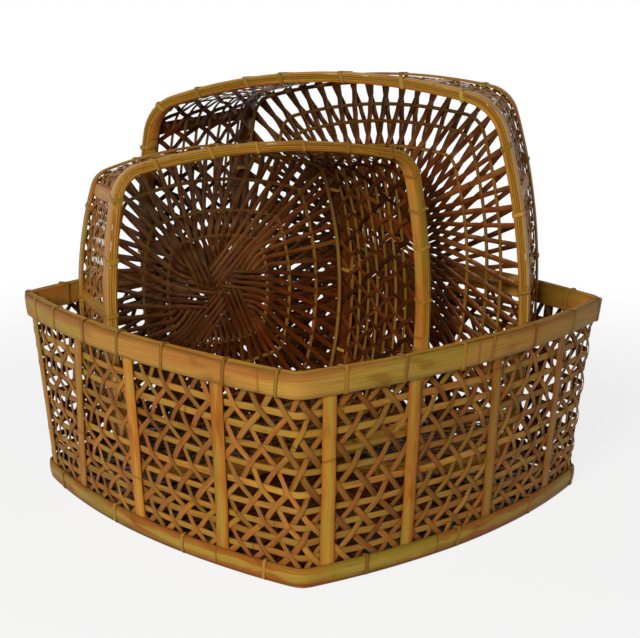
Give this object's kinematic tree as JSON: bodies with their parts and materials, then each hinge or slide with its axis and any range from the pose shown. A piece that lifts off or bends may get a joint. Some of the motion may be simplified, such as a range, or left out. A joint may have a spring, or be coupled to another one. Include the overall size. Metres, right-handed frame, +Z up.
{
  "type": "nested basket set",
  "caption": "Rounded-square baskets in open bamboo weave: the largest lies open side up and holds the smaller ones, which stand on edge in it as a display and lift off.",
  "frame": {"origin": "middle of the large basket's base, on the ground it stands on", "axes": "+Z up out of the large basket's mouth; +X along the large basket's longer side and towards the floor of the medium basket, whose mouth faces -X; the small basket's mouth faces -Y"},
  "size_m": [0.5448, 0.5306, 0.4823],
  "materials": {
    "outer_bamboo": "golden bamboo skin, satin varnish with olive and brown patches",
    "pale_bamboo": "orange-brown split bamboo, satin",
    "dark_bamboo": "smoked dark brown split bamboo, half matt",
    "weave_bamboo": "stained split bamboo and cane, satin"
  },
  "bodies": {
    "large_basket": {"large_base_hoop": "outer_bamboo", "large_floor_hoop_1": "weave_bamboo", "large_floor_hoop_2": "weave_bamboo", "large_floor_hoop_3": "weave_bamboo", "large_floor_strips": "dark_bamboo", "large_left_leaning_strips": "weave_bamboo", "large_right_leaning_strips": "dark_bamboo", "large_rim_inner_band": "pale_bamboo", "large_rim_outer_band": "outer_bamboo", "large_stake_east_1": "pale_bamboo", "large_stake_east_2": "pale_bamboo", "large_stake_east_3": "pale_bamboo", "large_stake_north_1": "pale_bamboo", "large_stake_north_2": "pale_bamboo", "large_stake_north_3": "pale_bamboo", "large_stake_south_1": "pale_bamboo", "large_stake_south_2": "pale_bamboo", "large_stake_south_3": "pale_bamboo", "large_stake_south_4": "pale_bamboo", "large_stake_west_1": "pale_bamboo", "large_stake_west_2": "pale_bamboo", "large_stake_west_3": "pale_bamboo", "large_stake_west_4": "pale_bamboo", "large_weaver": "weave_bamboo"},
    "medium_basket": {"medium_base_hoop": "outer_bamboo", "medium_floor_hoop_1": "weave_bamboo", "medium_floor_hoop_2": "weave_bamboo", "medium_floor_hoop_3": "weave_bamboo", "medium_floor_strips": "dark_bamboo", "medium_left_leaning_strips": "weave_bamboo", "medium_right_leaning_strips": "dark_bamboo", "medium_rim_inner_band": "pale_bamboo", "medium_rim_outer_band": "outer_bamboo", "medium_stake_east_1": "pale_bamboo", "medium_stake_east_2": "pale_bamboo", "medium_stake_north_1": "pale_bamboo", "medium_stake_north_2": "pale_bamboo", "medium_stake_south_1": "pale_bamboo", "medium_stake_south_2": "pale_bamboo", "medium_stake_west_1": "pale_bamboo", "medium_stake_west_2": "pale_bamboo", "medium_weaver": "weave_bamboo"},
    "small_basket": {"small_base_hoop": "outer_bamboo", "small_floor_hoop_1": "weave_bamboo", "small_floor_hoop_2": "weave_bamboo", "small_floor_hoop_3": "weave_bamboo", "small_floor_strips": "dark_bamboo", "small_left_leaning_strips": "weave_bamboo", "small_right_leaning_strips": "dark_bamboo", "small_rim_inner_band": "pale_bamboo", "small_rim_outer_band": "outer_bamboo", "small_stake_east_1": "pale_bamboo", "small_stake_east_2": "pale_bamboo", "small_stake_north_1": "pale_bamboo", "small_stake_north_2": "pale_bamboo", "small_stake_south_1": "pale_bamboo", "small_stake_south_2": "pale_bamboo", "small_stake_west_1": "pale_bamboo", "small_stake_west_2": "pale_bamboo", "small_weaver": "weave_bamboo"}
  },
  "joints": [
    {"name": "medium_lift", "type": "slide", "parent": "large_basket", "child": "medium_basket", "axis": [0, 0, 1], "range_m": [0, 0.225]},
    {"name": "small_lift", "type": "slide", "parent": "medium_basket", "child": "small_basket", "axis": [0, 0, 1], "range_m": [0, 0.045]}
  ]
}
